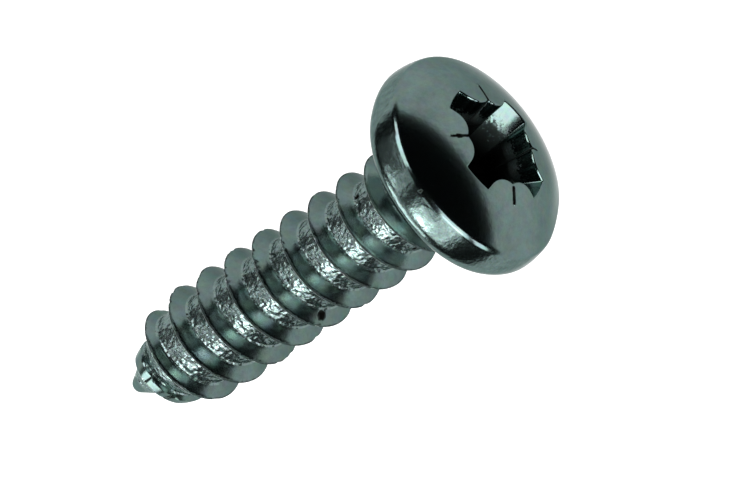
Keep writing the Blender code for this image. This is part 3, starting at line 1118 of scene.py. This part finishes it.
def stage_floor():
    material = bpy.data.materials.new("pale_floor")
    material.use_nodes = True
    tree = material.node_tree
    shader = tree.nodes["Principled BSDF"]
    shader.inputs["Roughness"].default_value = 0.9
    shader.inputs["Specular IOR Level"].default_value = 0.0
    shader.inputs["Emission Color"].default_value = (1.0, 1.0, 1.0, 1.0)
    pool = painted_light_pool(tree)
    # The painted pool of light darkens the floor's colour away from the screw.
    shade = vector_node(tree, "SCALE", colours().floor, scale=pool)
    link(tree, shade, shader.inputs["Base Color"])
    link(tree, floor_glow(tree, pool), shader.inputs["Emission Strength"])
    bm = bmesh.new()
    bmesh.ops.create_circle(bm, cap_ends=True, segments=FLOOR_SIDES, radius=FLOOR_RADIUS)
    mesh = bpy.data.meshes.new("floor")
    bm.to_mesh(mesh)
    bm.free()
    mesh.materials.append(material)
    floor = bpy.data.objects.new("floor", mesh)
    floor.location = (0.0, 0.0, min(0.0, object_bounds()[0].z))
    bpy.context.scene.collection.objects.link(floor)
    floor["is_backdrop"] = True


LAMP_DISTANCE = 0.3
LAMPS = (
    # name, centre along the axis and to the side, spans in degrees along and across, radiance
    ("shank_light", -0.4, -0.44, 26.0, 42.0, 5.0),
    ("hot_core", -0.49, -0.31, 7.0, 15.0, 28.0),
    ("side_box", 0.1, -0.62, 30.0, 27.0, 6.0),
    ("far_edge_card", 0.16, 0.7, 46.0, 32.0, 7.0),
    ("near_edge_card", 0.42, -0.62, 36.0, 32.0, 7.5),
    ("point_side_light", -0.5, 0.3, 14.0, 16.0, 2.2),
    ("point_side_core", -0.58, 0.42, 6.0, 14.0, 8.0),
    ("dim_side_box", -0.25, 0.33, 18.0, 16.0, 1.2),
    ("tip_card", -0.92, -0.04, 18.0, 40.0, 9.0),
    ("low_card", -0.78, 0.0, 24.0, 30.0, 1.4),
    ("far_side_card", -0.5, 0.66, 34.0, 34.0, 0.25),
    ("upper_side_card", 0.31, 0.89, 30.0, 16.0, 6.0),
    ("lower_side_card", 0.28, -0.93, 30.0, 16.0, 6.0),
)


def soft_light(name, axial, aside, span_along, span_across, radiance):
    """A rectangular soft light that shows at one place in the screw's reflections."""
    toward = AXIS * axial + ASIDE * aside
    toward += UPPER * math.sqrt(1.0 - axial ** 2 - aside ** 2)
    along = (AXIS - toward * AXIS.dot(toward)).normalized()
    across = toward.cross(along)
    data = bpy.data.lights.new(name, "AREA")
    data.shape = "RECTANGLE"
    data.size = 2.0 * LAMP_DISTANCE * math.tan(math.radians(span_along / 2.0))
    data.size_y = 2.0 * LAMP_DISTANCE * math.tan(math.radians(span_across / 2.0))
    data.energy = radiance * math.pi * data.size * data.size_y
    lamp = bpy.data.objects.new(name, data)
    turn = Matrix((along, across, toward)).transposed().to_4x4()
    lamp.matrix_world = Matrix.Translation(toward * LAMP_DISTANCE) @ turn
    lamp.visible_camera = False
    bpy.context.scene.collection.objects.link(lamp)


def stage_world():
    world = bpy.data.worlds.new("dim_studio")
    world.use_nodes = True
    ground = world.node_tree.nodes["Background"]
    ground.inputs["Color"].default_value = ROOM_COLOUR
    ground.inputs["Strength"].default_value = 1.0
    bpy.context.scene.world = world


class SCREW_OT_stage(bpy.types.Operator):
    """Builds the pale floor, the soft lights, the dim room and the camera"""

    bl_idname = "screw.stage"
    bl_label = "Stage"

    def execute(self, context):
        stage_camera()
        stage_floor()
        for lamp in LAMPS:
            soft_light(*lamp)
        stage_world()
        context.scene.view_settings.view_transform = "Standard"
        return {"FINISHED"}


class SCREW_PT_panel(bpy.types.Panel):
    """Lists the screw's sizes and colours, and its two steps"""

    bl_idname = "SCREW_PT_panel"
    bl_label = "Sheet metal screw"
    bl_space_type = "VIEW_3D"
    bl_region_type = "UI"
    bl_category = "Screw"

    def draw(self, context):
        layout = self.layout
        scene = context.scene
        for group in (scene.screw_sizes, scene.recess_sizes, scene.finish_colours):
            for name in group.__annotations__:
                layout.prop(group, name)
        layout.operator(SCREW_OT_body.bl_idname)
        layout.operator(SCREW_OT_stage.bl_idname)


CLASSES = (ScrewSizes, RecessSizes, FinishColours, SCREW_OT_body, SCREW_OT_stage, SCREW_PT_panel)


def register():
    for item in CLASSES:
        bpy.utils.register_class(item)
    bpy.types.Scene.screw_sizes = bpy.props.PointerProperty(type=ScrewSizes)
    bpy.types.Scene.recess_sizes = bpy.props.PointerProperty(type=RecessSizes)
    bpy.types.Scene.finish_colours = bpy.props.PointerProperty(type=FinishColours)


def unregister():
    for name in ("screw_sizes", "recess_sizes", "finish_colours"):
        delattr(bpy.types.Scene, name)
    for item in reversed(CLASSES):
        bpy.utils.unregister_class(item)


def main():
    register()
    bpy.ops.screw.body()
    bpy.ops.screw.stage()


if __name__ == "__main__":
    main()
